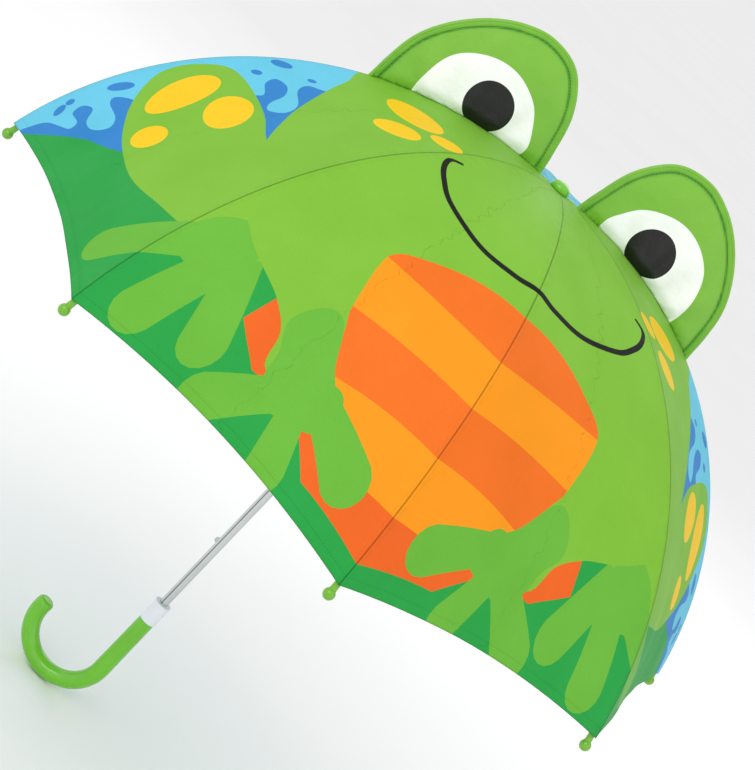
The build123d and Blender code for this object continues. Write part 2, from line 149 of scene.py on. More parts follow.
def artwork():
    """Every printed shape from the lowest layer up, as (colour, outline)."""
    art = []
    # water: a splashing pool beside the knee, one between knee and head, and more of both round the back
    pool = smooth([(-468, -22), (-455, -25), (-442, -34), (-432, -51), (-424, -63), (-417, -58), (-420, -39),
                   (-411, -33), (-403, -46), (-409, -62), (-407, -76), (-399, -85), (-389, -87), (-385, -74),
                   (-389, -47), (-383, -39), (-366, -60), (-352, -110), (-374, -150), (-412, -110), (-450, -62)],
                  steps=5)
    inlet = smooth([(-278, -80), (-268, -69), (-267, -48), (-258, -39), (-250, -52), (-252, -70), (-262, -84),
                    (-262, -98), (-248, -102), (-240, -88), (-242, -60), (-236, -48), (-226, -50), (-206, -72),
                    (-226, -180), (-262, -172)], steps=5)
    drops = [(-430, -23, 8, 5, 60), (-420, -17, 4, 5, 0), (-378, -22, 7, 12, 60), (-250, -11, 6, 9, 50),
             (-272, -28, 4, 5, 30), (-230, -37, 3, 4, 50)]

    def behind(reach, turn):
        """A point round the back: distance from the apex, and degrees back from the left side."""
        return np.array([-reach * math.cos(math.radians(turn)), reach * math.sin(math.radians(turn))])

    def splat(reach, turn, size, lobes=6):
        """A rounded splash with uneven arms."""
        out = []
        for k in range(2 * lobes):
            arm = size * ((1.0, 0.72, 0.90, 0.78, 0.96, 0.68)[k // 2 % 6] if k % 2 == 0 else 0.56)
            t = math.radians(turn + 180 / lobes * k)
            out.append(behind(reach, turn) + arm * np.array([math.cos(t), math.sin(t)]))
        return smooth(out, steps=4)

    wet = [pool, inlet] + [ellipse(*d) for d in drops]
    shore = [behind(441 - 15 * math.sin(1.3 * k) - 9 * math.sin(0.7 * k), 17 + 3.2 * k) for k in range(25)]
    wet.append(smooth(shore + [behind(520, 17 + 3.2 * k) for k in range(24, -1, -4)], steps=4))
    for reach, turn, size in ((352, 27, 27), (300, 49, 24), (372, 59, 25), (318, 80, 27), (236, 33, 18),
                              (205, 64, 20), (142, 44, 14), (132, 81, 13)):
        wet.append(splat(reach, turn, size))
    for k, (reach, turn) in enumerate(((392, 21), (318, 19), (398, 37), (340, 40), (268, 40), (272, 25), (402, 49),
                                       (345, 50), (252, 55), (402, 68), (330, 68), (268, 73), (398, 84), (244, 86),
                                       (365, 86), (182, 40), (165, 62), (188, 79), (104, 55), (92, 84))):
        x, y = behind(reach, turn)
        wet.append(ellipse(x, y, 4.5 + k % 3, 6.5 + 1.5 * (k % 4), 37 * k))
    art += both([("splash", w) for w in wet])
    # dark green ring along the front of the hem
    art.append(("ring", smooth([(-486, 6), (-470, -20), (-455, -42), (-432, -68), (-409, -93), (-376, -134),
                                (-304, -192), (-182, -211), (0, -221), (182, -211), (304, -192), (376, -134), (409, -93),
                                (432, -68), (455, -42), (470, -20), (486, 6), (540, -309), (364, -528),
                                (0, -648), (-364, -528), (-540, -309)], steps=8)))
    # lower belly, behind the arms
    art.append(("rust", np.array([(0, -451), (-81, -433), (-105, -407), (-152, -381), (-174, -373), (-192, -349),
                                  (-201, -335), (-182, -311), (-142, -290), (0, -280), (142, -290), (182, -311),
                                  (201, -335), (192, -349), (174, -373), (152, -381), (105, -407), (81, -433)])))
    # legs with bent knees, shins and feet
    legs = [
        ("skin", smooth([(-246, -159), (-263, -108), (-273, -75), (-284, -36), (-293, -18), (-309, -10), (-329, -8),
                         (-350, -18), (-369, -50), (-377, -86), (-375, -126), (-360, -172), (-336, -208),
                         (-300, -242), (-265, -268), (-219, -296), (-198, -262), (-202, -197)])),
        ("limb", finger((-241, -278), (-339, -274), 15, 17)),
        ("limb", finger((-229, -292), (-283, -340), 15, 20)),
        ("limb", finger((-217, -286), (-222, -361), 13, 21)),
        ("limb", ellipse(-237, -278, 30, 25, 20)),
        ("spot", ellipse(-331, -58, 36, 21, 42)),
        ("spot", ellipse(-293, -100, 20, 29, 4)),
        ("spot", ellipse(-353, -123, 15, 18, 30)),
    ]
    art += both(legs)
    # head and body
    art.append(("skin", smooth([(-172, 6), (-202, -27), (-225, -62), (-243, -104), (-250, -155), (-239, -211),
                                (-217, -272), (-184, -313), (-168, -339), (-162, -371), (-101, -381),
                                (-61, -339), (61, -339), (101, -381), (162, -371), (168, -339), (184, -313),
                                (217, -272), (239, -211), (250, -155), (243, -104), (225, -62), (202, -27),
                                (172, 6), (61, 5), (0, 4), (-61, 5)])))
    art.append(("rust", np.array([(-105, -349), (105, -349), (105, -407), (81, -433), (0, -451), (-81, -433),
                                  (-105, -407)])))
    # striped chest
    side = [(0, -224), (46, -227), (89, -235), (113, -241), (123, -256), (126, -301), (122, -331), (113, -355),
            (105, -369), (97, -381), (40, -409), (0, -412)]
    chest = np.array([(-x, y) for x, y in side[::-1]] + side[1:-1])
    chest = smooth(chest, steps=4)

    def band(top, bottom):
        """A strip between two sagging lines, each given at the middle and at the side."""
        x = np.linspace(-150, 150, 31)
        f = (x / 120) ** 2
        upper = [(a, b) for a, b in zip(x, top[0] + (top[1] - top[0]) * f)]
        lower = [(a, b) for a, b in zip(x, bottom[0] + (bottom[1] - bottom[0]) * f)]
        return np.array(upper + lower[::-1])

    for colour, top, bottom in (("orange", (-192, -192), (-271, -248)), ("amber", (-271, -248), (-315, -301)),
                                ("orange", (-315, -301), (-360, -355)), ("amber", (-360, -355), (-448, -448))):
        art.append((colour, (band(top, bottom), chest)))
    art.append(("rust", (band((-411, -411), (-478, -478)), np.array(
        [(-105, -394), (105, -394), (105, -407), (81, -433), (0, -451), (-81, -433), (-105, -407)]))))
    # arms and hands
    arms = [
        ("skin", smooth([(-178, -309), (-162, -339), (-162, -371), (-119, -381), (-93, -383), (-113, -353),
                         (-125, -309), (-142, -280)])),
        ("limb", smooth([(-166, -327), (-161, -354), (-162, -375), (-148, -397), (-119, -401), (-97, -401),
                         (-79, -393), (-91, -375), (-111, -351), (-125, -315), (-144, -309)])),
        ("limb", finger((-140, -385), (-204, -403), 14, 21)),
        ("limb", finger((-123, -391), (-116, -439), 13, 19.5)),
        ("limb", finger((-97, -383), (-50, -414), 14, 21)),
        ("limb", ellipse(-104, -377, 17, 15)),
    ]
    art += both(arms)
    # cheeks and mouth
    art += both([
        ("spot", ellipse(-145, -57, 30, 17, -38)),
        ("spot", ellipse(-155, -97, 23, 13, -18)),
        ("spot", ellipse(-111, -90, 17, 9, -14)),
    ])
    art.append(("mouth", thick([(-93, -110), (-103, -113), (-107, -127), (-105, -144), (-96, -165), (-73, -186),
                                (-49, -197), (-20, -198), (0, -193), (20, -198), (49, -197), (73, -186),
                                (96, -165), (105, -144), (107, -127), (103, -113), (93, -110)], 5.2)))
    return art


def inside(poly, pts):
    """Which points lie inside a polygon."""
    x, y = pts[:, 0], pts[:, 1]
    hit = np.zeros(len(pts), bool)
    x0, y0 = poly[-1]
    for x1, y1 in poly:
        cross = (y0 > y) != (y1 > y)
        if abs(y1 - y0) > 1e-12:
            hit ^= cross & (x < (x1 - x0) * (y - y0) / (y1 - y0) + x0)
        x0, y0 = x1, y1
    return hit


# ------------------------------------------------------------------ the dome's surface
def hem_arc(delta):
    """Length from the apex to the hem, by the angle from the nearest rib."""
    rise = 1 - (np.abs(np.tan(GORE - np.abs(delta))) / math.tan(GORE)) ** 2
    return SEAM_LEN - HEM_RISE * rise


def fold_angle(phi):
    """Angle from the nearest rib, signed, for any azimuth in radians."""
    step = 2 * GORE
    return phi - np.round(phi / step) * step


def dome(uv, lift=0.0):
    """Places flat cloth points on the open dome, with the pull and slack of real cloth."""
    u, v = uv[:, 0], uv[:, 1]
    a = np.hypot(u, v)
    phi = np.arctan2(v, u)
    d = fold_angle(phi)
    theta = T_AXIS + a / DOME_R
    seam_r = DOME_X + DOME_R * np.sin(theta)
    flat_r = seam_r * math.cos(GORE) / np.cos(GORE - np.abs(d))
    m = np.abs(d) / GORE                       # 0 at a rib, 1 in the middle of a gore
    z = DOME_C + DOME_R * np.cos(theta)
    # taut cloth pulls in a little between ribs, and ripples near each rib tip and along the hem
    width = 2 * seam_r * math.sin(GORE)
    sag = -0.010 * width * np.sin(np.pi * np.clip(m, 0, 1) / 2) ** 2
    near_tip = np.clip((a - 300) / 160, 0, 1) ** 2
    gore_id = np.round(phi / (2 * GORE) - 0.5)
    ripple = 0.75 * near_tip * np.sin(m * 8 + gore_id * 1.9 + 0.9 * np.sign(d)) * np.sin(np.pi * m) ** 0.7
    near_top = np.exp(-((a - 45) / 55) ** 2)
    ripple += 0.30 * near_top * np.cos(m * 9 + gore_id * 2.3) * np.sin(np.pi * m)
    ripple += 0.38 * np.sin(a / 31 + gore_id * 1.3 + 2.0 * m) * np.sin(np.pi * m) * np.clip(a / 200, 0, 1)
    # the seam sits slightly proud where the cloth bears on the rib
    ridge = 0.35 * np.exp(-(np.abs(d) * a / 4.0) ** 2)
    n_r = np.sin(theta)
    n_z = np.cos(theta)
    off = sag + ripple + ridge + lift
    r = flat_r + off * n_r
    z = z + off * n_z
    return np.stack([r * np.cos(phi), r * np.sin(phi), z], 1)


def dome_normals(uv):
    e = 1.2
    du = dome(uv + [e, 0]) - dome(uv - [e, 0])
    dv = dome(uv + [0, e]) - dome(uv - [0, e])
    n = np.cross(du, dv)
    return n / np.linalg.norm(n, axis=1)[:, None]


# ------------------------------------------------------------------ mesh helpers
def link(obj):
    bpy.context.scene.collection.objects.link(obj)
    return obj


def subdivide(poly, step):
    """The same outline with no side longer than step, so that it can follow the curved cloth."""
    out = []
    for a, b in zip(poly, np.roll(poly, -1, 0)):
        n = max(1, math.ceil(np.linalg.norm(b - a) / step))
        out += [a + (b - a) * k / n for k in range(n)]
    return np.array(out)


def clear_of(points, outlines, gap):
    """Drops the points that lie closer than gap to an outline, which would make needle-thin triangles."""
    near = np.concatenate([subdivide(p, gap) for p, closed in outlines if closed])
    cells = {(int(x), int(y)) for x, y in np.floor(near / gap)}
    around = [(i, j) for i in (-1, 0, 1) for j in (-1, 0, 1)]
    return np.array([p for p in points if not any(
        (int(p[0] // gap) + i, int(p[1] // gap) + j) in cells for i, j in around)])


def triangulate(outlines, points, eps=1e-4):
    """Constrained triangulation of outlines and loose points. Returns flat vertices and faces."""
    verts, edges = [], []
    for poly, closed in outlines:
        first = len(verts)
        verts += [Vector((float(p[0]), float(p[1]))) for p in poly]
        n = len(poly)
        edges += [(first + i, first + (i + 1) % n) for i in range(n if closed else n - 1)]
    verts += [Vector((float(p[0]), float(p[1]))) for p in points]
    v, _, f, _, _, _ = delaunay_2d_cdt(verts, edges, [], 0, eps)
    return np.array([(p.x, p.y) for p in v]), [tuple(x) for x in f if len(x) == 3]


def sheet_object(name, flat, faces, place, normals, colour, thickness, material, uv_seam, to_hem):
    """A closed two-layer sheet of cloth: printed outer layer, paler inner layer and its cut edges."""
    used = sorted({i for f in faces for i in f})
    index = {old: new for new, old in enumerate(used)}
    flat = flat[used]
    faces = [tuple(index[i] for i in f) for f in faces]
    n = len(flat)
    top = place
    bottom = top - normals * thickness
    count = {}
    for f in faces:
        for a, b in zip(f, f[1:] + f[:1]):
            count[(a, b)] = count.get((a, b), 0) + 1
    rim = [(a, b) for (a, b) in count if (b, a) not in count]
    all_faces = [*faces, *[(c + n, b + n, a + n) for a, b, c in faces], *[(b, a, a + n, b + n) for a, b in rim]]
    mesh = bpy.data.meshes.new(name)
    mesh.from_pydata((np.concatenate([top, bottom]) / 1000).tolist(), [], all_faces)
    mesh.validate()
    colours = np.concatenate([colour, colour, np.array([colour[0]] * len(rim)).reshape(-1, 3)])
    under = np.concatenate([np.zeros(len(faces)), np.ones(len(faces)), np.full(len(rim), 0.5)])
    loops = np.array([p.loop_total for p in mesh.polygons])
    rgba = np.concatenate([colours, np.ones((len(colours), 1))], 1)
    layer = mesh.color_attributes.new("print", "FLOAT_COLOR", "CORNER")
    layer.data.foreach_set("color", np.repeat(rgba, loops, 0).astype(np.float32).ravel())
    low = mesh.attributes.new("under", "FLOAT", "FACE")
    low.data.foreach_set("value", under.astype(np.float32))
    hem = mesh.attributes.new("to_hem", "FLOAT", "POINT")
    hem.data.foreach_set("value", np.concatenate([to_hem[used], to_hem[used]]).astype(np.float32))
    vertex = np.zeros(len(mesh.loops), np.int32)
    mesh.loops.foreach_get("vertex_index", vertex)
    for layer_name, data in (("cloth", flat), ("seam", uv_seam[used])):
        uv = mesh.uv_layers.new(name=layer_name)
        uv.data.foreach_set("uv", np.concatenate([data, data])[vertex].astype(np.float32).ravel() / 1000)
    for p in mesh.polygons:
        p.use_smooth = True
    both_sides = np.concatenate([normals, -normals])
    mesh.normals_split_custom_set_from_vertices(both_sides.tolist())
    mesh.materials.append(material)
    return link(bpy.data.objects.new(name, mesh))


# ------------------------------------------------------------------ materials
class Nodes:
    """Short helper for building a procedural material."""

    def __init__(self, name):
        self.mat = bpy.data.materials.new(name)
        self.mat.use_nodes = True
        self.tree = self.mat.node_tree
        self.bsdf = self.tree.nodes["Principled BSDF"]

    def add(self, kind, **values):
        node = self.tree.nodes.new(kind)
        for k, v in values.items():
            if k in node.inputs:
                self.put(node.inputs[k], v)
            else:
                setattr(node, k, v)
        return node

    def put(self, socket, value):
        if isinstance(value, bpy.types.NodeSocket):
            self.tree.links.new(value, socket)
        elif isinstance(value, bpy.types.Node):
            self.tree.links.new(value.outputs[0], socket)
        else:
            socket.default_value = value

    def math(self, op, a, b=0.0, c=None):
        node = self.tree.nodes.new("ShaderNodeMath")
        node.operation = op
        self.put(node.inputs[0], a)
        self.put(node.inputs[1], b)
        if c is not None:
            self.put(node.inputs[2], c)
        return node.outputs[0]

    def mix(self, share, a, b, kind="MIX"):
        node = self.tree.nodes.new("ShaderNodeMix")
        node.data_type = "RGBA"
        node.blend_type = kind
        self.put(node.inputs[0], share)
        for i, x in ((6, a), (7, b)):
            self.put(node.inputs[i], (*x, 1.0) if isinstance(x, (list, tuple)) and len(x) == 3 else x)
        return node.outputs[2]

    def ramp(self, value, low, high, out_low=0.0, out_high=1.0):
        node = self.tree.nodes.new("ShaderNodeMapRange")
        node.interpolation_type = "SMOOTHSTEP"
        self.put(node.inputs["Value"], value)
        for k, x in (("From Min", low), ("From Max", high), ("To Min", out_low), ("To Max", out_high)):
            node.inputs[k].default_value = x
        return node.outputs["Result"]

    def noise(self, vector, scale, detail=3.0, rough=0.55):
        node = self.tree.nodes.new("ShaderNodeTexNoise")
        self.put(node.inputs["Vector"], vector)
        for k, x in (("Scale", scale), ("Detail", detail), ("Roughness", rough)):
            node.inputs[k].default_value = x
        return node.outputs["Fac"]

    def bump(self, height, distance, strength=1.0, after=None):
        node = self.tree.nodes.new("ShaderNodeBump")
        self.put(node.inputs["Height"], height)
        node.inputs["Distance"].default_value = distance
        node.inputs["Strength"].default_value = strength
        if after is not None:
            self.put(node.inputs["Normal"], after)
        return node.outputs["Normal"]

    def set(self, **values):
        names = {"color": "Base Color", "rough": "Roughness", "metal": "Metallic", "normal": "Normal",
                 "sheen": "Sheen Weight", "sheen_rough": "Sheen Roughness", "coat": "Coat Weight",
                 "coat_rough": "Coat Roughness", "spec": "Specular IOR Level", "sub": "Subsurface Weight"}
        for k, v in values.items():
            if isinstance(v, (list, tuple)) and len(v) == 3:
                v = (*v, 1.0)
            self.put(self.bsdf.inputs[names[k]], v)
        return self.mat


def weave(m, scale_mm=0.42, uv_name="cloth"):
    """Plain weave of fine polyester yarn, from the cloth's own flat coordinates."""
    uv = m.add("ShaderNodeUVMap", uv_map=uv_name).outputs[0]
    split = m.add("ShaderNodeSeparateXYZ", Vector=uv)
    k = 2 * math.pi / (scale_mm / 1000)
    warp = m.math("SINE", m.math("MULTIPLY", split.outputs[0], k))
    weft = m.math("SINE", m.math("MULTIPLY", split.outputs[1], k))
    return uv, split, m.math("MULTIPLY_ADD", m.math("MULTIPLY", warp, weft), 0.5, 0.5)


def canopy_material():
    """Printed polyester: weave, ink, felled rib seams, a stitched hem, soft creases, and a paler inside."""
    m = Nodes("printed_canopy_cloth")
    uv, split, threads = weave(m)
    ink = m.add("ShaderNodeVertexColor", layer_name="print").outputs["Color"]
    under = m.add("ShaderNodeAttribute", attribute_name="under").outputs["Fac"]
    hem = m.add("ShaderNodeAttribute", attribute_name="to_hem").outputs["Fac"]
    seam = m.add("ShaderNodeSeparateXYZ", Vector=m.add("ShaderNodeUVMap", uv_map="seam").outputs[0])
    across = m.math("ABSOLUTE", seam.outputs[0])
    along = seam.outputs[1]
    cloudy = m.noise(uv, 14.0, 4.0)
    fleck = m.noise(uv, 700.0, 2.0)
    shade = m.mix(m.ramp(cloudy, 0.3, 0.7, 0.0, 0.5), ink, m.mix(1.0, ink, (0.86, 0.90, 0.82), "MULTIPLY"))
    shade = m.mix(m.math("MULTIPLY", m.ramp(fleck, 0.45, 0.75), 0.16), shade,
                  m.mix(1.0, shade, (0.72, 0.76, 0.70), "MULTIPLY"))
    shade = m.mix(m.math("MULTIPLY", threads, 0.10), shade, m.mix(1.0, shade, (0.6, 0.6, 0.6), "MULTIPLY"))
    # rib seam: a fine sunken line with painted shade in it, and a row of stitches beside it
    groove_and_shade = m.ramp(across, 0.00022, 0.00085, 1.0, 0.0)
    dash = m.ramp(m.math("SINE", m.math("MULTIPLY", along, 2 * math.pi / 0.0026)), -0.3, 0.1)
    row = m.ramp(m.math("ABSOLUTE", m.math("SUBTRACT", across, 0.0032)), 0.00012, 0.00035, 1.0, 0.0)
    shade = m.mix(m.math("MULTIPLY", groove_and_shade, 0.55), shade, m.mix(1.0, shade, (0.16, 0.22, 0.12), "MULTIPLY"))
    shade = m.mix(m.math("MULTIPLY", m.math("MULTIPLY", row, dash), 0.20), shade,
                  m.mix(1.0, shade, (0.45, 0.5, 0.4), "MULTIPLY"))
    # hem: folded over 9 mm and held by one row of stitches, darker at the very edge
    turn = m.math("MULTIPLY", m.math("ARCTAN2", split.outputs[1], split.outputs[0]), 0.46)
    hem_dash = m.ramp(m.math("SINE", m.math("MULTIPLY", turn, 2 * math.pi / 0.0030)), -0.4, 0.0)
    hem_row = m.ramp(m.math("ABSOLUTE", m.math("SUBTRACT", hem, 7.5)), 0.2, 0.5, 1.0, 0.0)
    shade = m.mix(m.math("MULTIPLY", m.math("MULTIPLY", hem_row, hem_dash), 0.40), shade,
                  m.mix(1.0, shade, (0.40, 0.48, 0.38), "MULTIPLY"))
    shade = m.mix(m.ramp(hem, 0.2, 1.3, 0.55, 0.0), shade, m.mix(1.0, shade, (0.35, 0.42, 0.32), "MULTIPLY"))
    # the ink shows through paler on the inside
    shade = m.mix(under, shade, m.mix(0.42, shade, (0.80, 0.86, 0.80)))
    crease = m.noise(uv, 30.0, 5.0, 0.6)
    pucker = m.math("MULTIPLY", m.math("SINE", m.math("MULTIPLY", along, 2 * math.pi / 0.0125)),
                    m.ramp(across, 0.0, 0.014, 1.0, 0.0))
    hem_pucker = m.math("MULTIPLY", m.noise(uv, 110.0, 2.0), m.ramp(hem, 2.0, 14.0, 1.0, 0.0))
    n = m.bump(crease, 0.0014, 0.55)
    n = m.bump(pucker, 0.00045, 0.6, n)
    n = m.bump(hem_pucker, 0.0012, 0.6, n)
    n = m.bump(m.ramp(hem, 8.6, 9.2, 1.0, 0.0), 0.0004, 0.5, n)
    n = m.bump(m.ramp(across, 0.0032, 0.0042, 1.0, 0.0), 0.0003, 0.5, n)
    n = m.bump(groove_and_shade, -0.0005, 0.7, n)
    n = m.bump(threads, 0.00004, 0.5, n)
    rough = m.ramp(cloudy, 0.2, 0.8, 0.52, 0.66)
    return m.set(color=shade, rough=rough, normal=n, sheen=0.04, sheen_rough=0.4, spec=0.16)


def gloss_plastic(name, colour, rough=0.16, speck=0.03):
    m = Nodes(name)
    where = m.add("ShaderNodeTexCoord").outputs["Object"]
    cloudy = m.noise(where, 26.0, 4.0)
    fine = m.noise(where, 620.0, 3.0)
    scuff = m.ramp(m.noise(where, 140.0, 6.0, 0.7), 0.60, 0.74)
    deep = [c * 0.82 for c in colour]
    shade = m.mix(m.ramp(cloudy, 0.3, 0.75, 0.0, 0.5), colour, deep)
    shade = m.mix(m.math("MULTIPLY", scuff, speck), shade, (0.9, 0.95, 0.85))
    normal = m.bump(m.noise(where, 75.0, 2.0), 0.0004, 0.25)
    normal = m.bump(fine, 0.00005, 0.35, normal)
    r = m.math("ADD", m.ramp(cloudy, 0.2, 0.8, rough - 0.03, rough + 0.07), m.math("MULTIPLY", scuff, 0.12))
    return m.set(color=shade, rough=r, normal=normal, coat=0.35, coat_rough=0.08, sub=0.0, spec=0.5)


def metal(name, colour, rough, brushed=0.25, spots=0.0, axis=2, reflection_line_at=None):
    m = Nodes(name)
    where = m.add("ShaderNodeTexCoord").outputs["Object"]
    stretch = [900.0, 900.0, 900.0]
    stretch[axis] = 22.0
    mapped = m.add("ShaderNodeMapping", Vector=where)
    mapped.inputs["Scale"].default_value = stretch
    lines = m.noise(mapped.outputs[0], 1.0, 3.0)
    cloudy = m.noise(where, 34.0, 4.0)
    shade = m.mix(m.ramp(cloudy, 0.35, 0.7, 0.0, 0.30), colour, [c * 0.72 for c in colour])
    shade = m.mix(m.math("MULTIPLY", m.ramp(m.noise(where, 260.0, 5.0, 0.7), 0.62, 0.72), spots), shade,
                  (0.20, 0.15, 0.11))
    r = m.math("ADD", m.ramp(cloudy, 0.2, 0.8, rough - 0.04, rough + 0.08), m.math("MULTIPLY", lines, 0.10))
    normal = m.bump(lines, 0.00005, brushed)
    if reflection_line_at is not None:
        # a painted dark line along the tube that stands in for a reflection, sunk slightly by a bump, and the
        # drawing marks beside it
        a = math.radians(reflection_line_at)
        xyz = m.add("ShaderNodeSeparateXYZ", Vector=where)
        side = m.math("ADD", m.math("MULTIPLY", xyz.outputs[0], -math.sin(a)),
                      m.math("MULTIPLY", xyz.outputs[1], math.cos(a)))
        front = m.ramp(m.math("ADD", m.math("MULTIPLY", xyz.outputs[0], math.cos(a)),
                              m.math("MULTIPLY", xyz.outputs[1], math.sin(a))), 0.0, 0.0004)
        line = m.math("MULTIPLY", m.ramp(m.math("ABSOLUTE", side), 0.00022, 0.00062, 1.0, 0.0), front)
        streaks = m.add("ShaderNodeCombineXYZ", X=m.math("MULTIPLY", side, 900.0), Y=front)
        drawn = m.noise(streaks.outputs[0], 1.0, 2.0)
        shade = m.mix(m.ramp(drawn, 0.40, 0.68, 0.0, 0.55), shade, [c * 0.42 for c in colour])
        shade = m.mix(m.math("MULTIPLY", line, 0.88), shade, (0.05, 0.05, 0.05))
        normal = m.bump(line, -0.0002, 0.8, normal)
    return m.set(color=shade, rough=r, metal=1.0, normal=normal)


def satin_plastic(name, colour, rough=0.42):
    m = Nodes(name)
    where = m.add("ShaderNodeTexCoord").outputs["Object"]
    cloudy = m.noise(where, 55.0, 4.0)
    grain = m.noise(where, 1500.0, 2.0)
    shade = m.mix(m.ramp(cloudy, 0.3, 0.7, 0.0, 0.4), colour, [colour[0] * 0.86, colour[1] * 0.90, colour[2] * 0.95])
    r = m.ramp(cloudy, 0.2, 0.8, rough - 0.05, rough + 0.08)
    return m.set(color=shade, rough=r, normal=m.bump(grain, 0.00004, 0.4), spec=0.45)


def eye_material():
    """Printed cloth of the stuffed eyes, with painted shade in the creases along the piped edge, and the darker row
    of stitches inside it.
    """
    m = Nodes("printed_eye_cloth")
    uv, split, threads = weave(m, 0.5)
    ink = m.add("ShaderNodeVertexColor", layer_name="print").outputs["Color"]
    edge = m.add("ShaderNodeAttribute", attribute_name="edge").outputs["Fac"]
    cloudy = m.noise(uv, 26.0, 4.0)
    shade = m.mix(m.ramp(cloudy, 0.3, 0.7, 0.0, 0.5), ink, m.mix(1.0, ink, (0.84, 0.90, 0.82), "MULTIPLY"))
    shade = m.mix(m.math("MULTIPLY", threads, 0.10), shade, m.mix(1.0, shade, (0.6, 0.6, 0.6), "MULTIPLY"))
    row = m.ramp(m.math("ABSOLUTE", m.math("SUBTRACT", edge, STITCH_IN)), 0.3, 1.1, 1.0, 0.0)
    dash = m.ramp(m.math("SINE", m.math("MULTIPLY", m.math("ADD", split.outputs[0], split.outputs[1]),
                                        2 * math.pi / 0.0036)), -0.5, 0.0)
    # painted shade in the creases where the stuffed cloth is pulled in along the piping, patchy along its length
    near = m.ramp(m.math("ABSOLUTE", m.math("SUBTRACT", edge, STITCH_IN - 0.6)), 0.5, 4.2, 1.0, 0.0)
    patchy = m.ramp(m.noise(uv, 46.0, 3.0), 0.35, 0.62)
    shade = m.mix(m.math("MULTIPLY", near, m.math("MULTIPLY_ADD", patchy, 0.35, 0.12)), shade,
                  m.mix(1.0, shade, (0.16, 0.62, 0.30), "MULTIPLY"))
    shade = m.mix(m.math("MULTIPLY", row, m.math("MULTIPLY_ADD", dash, 0.35, 0.35)), shade,
                  m.mix(1.0, shade, (0.14, 0.40, 0.16), "MULTIPLY"))
    crease = m.noise(uv, 40.0, 5.0, 0.6)
    n = m.bump(crease, 0.0022, 0.6)
    n = m.bump(row, -0.0008, 0.8, n)
    n = m.bump(threads, 0.00005, 0.4, n)
    return m.set(color=shade, rough=m.ramp(cloudy, 0.2, 0.8, 0.30, 0.44), normal=n, sheen=0.05, spec=0.42)


EYE_OUTLINE = [(25, 18), (35, 52), (56, 78), (84, 85), (110, 78), (134, 62), (155, 38), (168, 10)]
EYE_WHITE = [(43, 6), (50, 23), (64, 39), (88, 48), (113, 44), (134, 28), (142, 4), (139, -24), (118, -42),
             (80, -38), (52, -18)]
PUPIL = (88.5, 13.5, 20.5)
STITCH_IN = 5.0
PIPING_R = 1.8
EYE_IN, EYE_OUT = 22.0, 172.5          # where the eye's foot starts and ends, from the shaft axis


def eye_foot(x):
    """Height of the canopy under the eye, at a distance from the shaft axis."""
    return DOME_C + math.sqrt((DOME_R + 0.4) ** 2 - (x - DOME_X) ** 2)


def distance_to(points, line):
    """Distance from each point to an open line."""
    best = np.full(len(points), 1e9)
    for p0, p1 in zip(line, line[1:]):
        e = p1 - p0
        t = np.clip(((points - p0) @ e) / max(e @ e, 1e-9), 0, 1)
        best = np.minimum(best, np.linalg.norm(points - (p0 + t[:, None] * e), axis=1))
    return best


